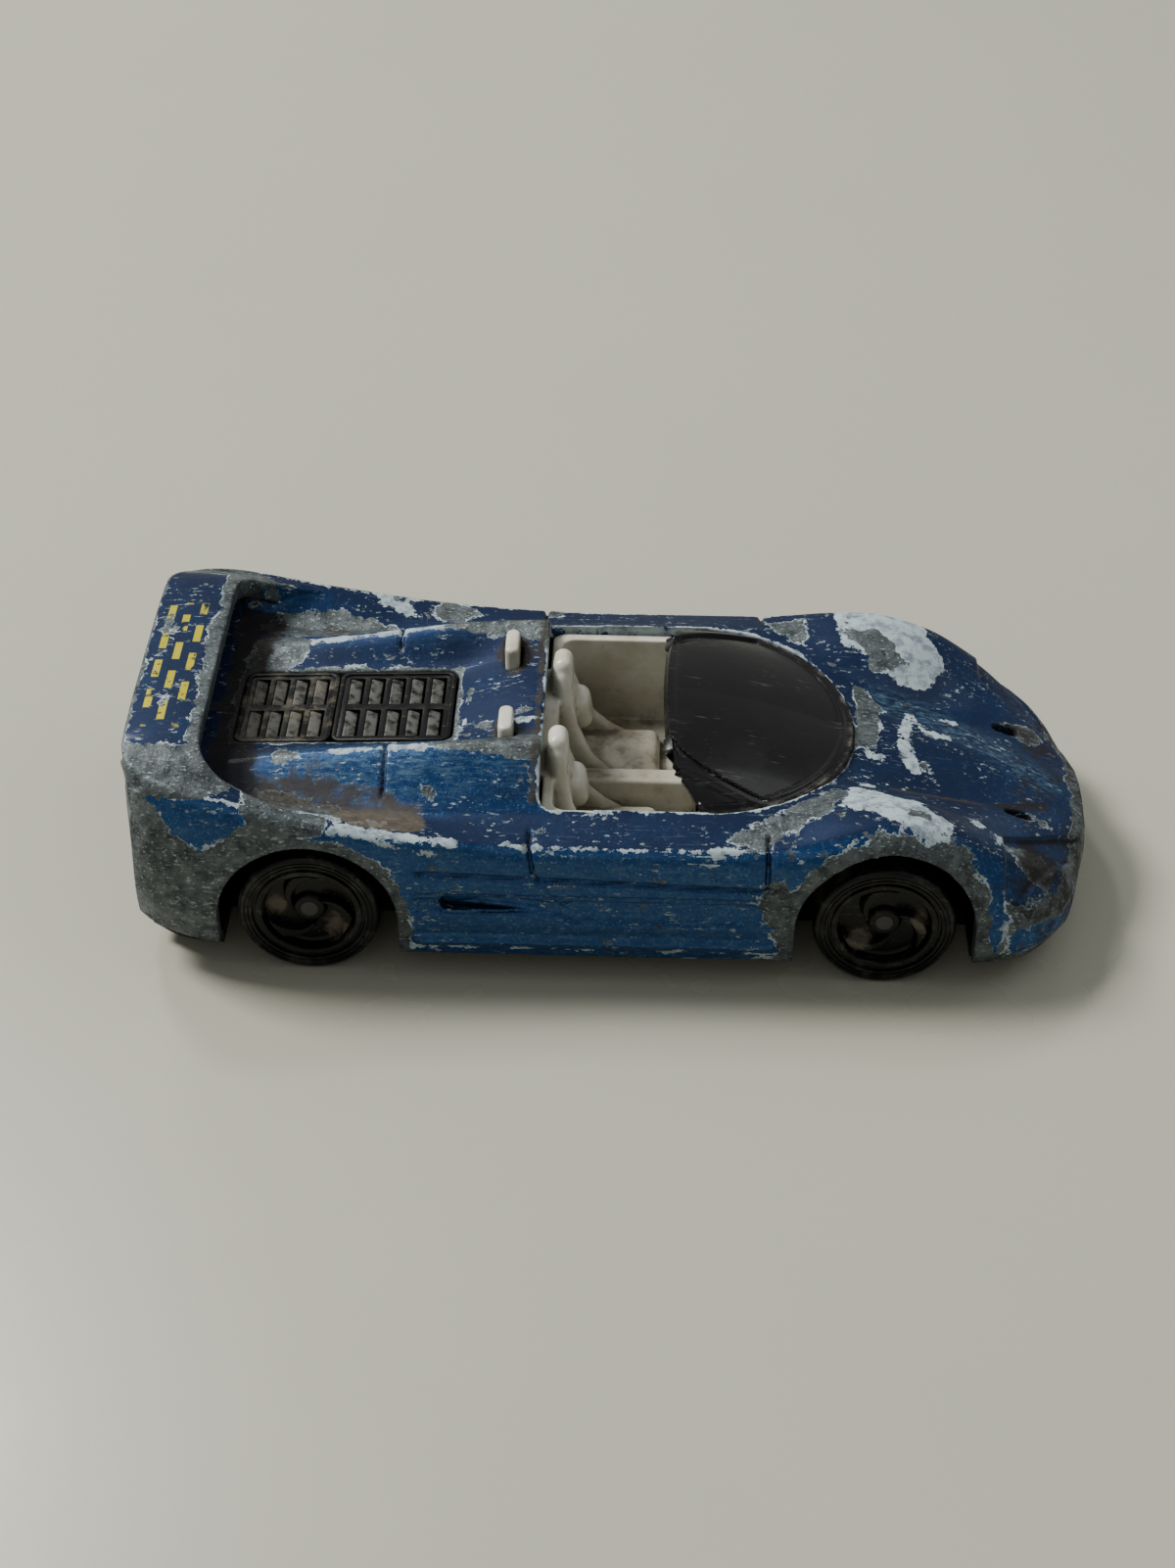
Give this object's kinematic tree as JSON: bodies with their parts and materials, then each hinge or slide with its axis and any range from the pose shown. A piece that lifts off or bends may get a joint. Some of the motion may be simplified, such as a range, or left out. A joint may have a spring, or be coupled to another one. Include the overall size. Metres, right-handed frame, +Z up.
{
  "type": "pull back car",
  "caption": "Open-top toy sports car with a cast metal body, plastic seat tub, tinted wraparound windscreen and a wind-up motor on the rear axle.",
  "frame": {"origin": "middle of the car's box, on the surface that the wheels stand on", "axes": "+X to the front of the car, +Y to its left side, +Z up"},
  "size_m": [0.0684, 0.031, 0.017],
  "materials": {
    "casting": "worn metallic blue enamel over bare zinc",
    "base": "black moulded",
    "tub": "ivory white moulded, grimy in the hollows",
    "screen": "near-black tinted clear plastic, finely scratched",
    "louvres": "black moulded",
    "wheel": "black moulded, worn",
    "steel": "dull cut ends",
    "motor_shell": "natural moulded",
    "gear": "natural acetal",
    "drum": "red acetal",
    "spring": "blued spring strip"
  },
  "bodies": {
    "chassis": {"body_shell": "casting", "base_plate": "base", "interior_tub": "tub", "windscreen": "screen", "louvre_front": "louvres", "louvre_rear": "louvres", "motor_case": "motor_shell", "motor_cover": "motor_shell", "reduction_pin": "steel", "spring_arbor": "steel"},
    "front_wheelset": {"front_axle": "steel", "wheel_front_left": "wheel", "wheel_front_right": "wheel"},
    "rear_wheelset": {"rear_axle": "steel", "wheel_rear_left": "wheel", "wheel_rear_right": "wheel", "axle_pinion": "gear"},
    "reduction": {"reduction_gear": "gear"},
    "spring_drum": {"spring_gear": "drum", "mainspring": "spring"}
  },
  "joints": [
    {"name": "front_axle_spin", "type": "hinge", "parent": "chassis", "child": "front_wheelset", "pos_m": [0.01905, 0, 0.005], "axis": [0, 1, 0], "continuous": true},
    {"name": "rear_axle_spin", "type": "hinge", "parent": "chassis", "child": "rear_wheelset", "pos_m": [-0.02125, 0, 0.005], "axis": [0, 1, 0], "continuous": true},
    {"name": "reduction_spin", "type": "hinge", "parent": "chassis", "child": "reduction", "pos_m": [-0.0173, 0, 0.00644], "axis": [0, 1, 0], "continuous": true},
    {"name": "spring_drum_spin", "type": "hinge", "parent": "chassis", "child": "spring_drum", "pos_m": [-0.0131, 0, 0.00644], "axis": [0, 1, 0], "continuous": true}
  ],
  "couplings": [
    {"joint": "reduction_spin", "follows": "rear_axle_spin", "ratio": -0.4},
    {"joint": "spring_drum_spin", "follows": "rear_axle_spin", "ratio": 0.16}
  ]
}
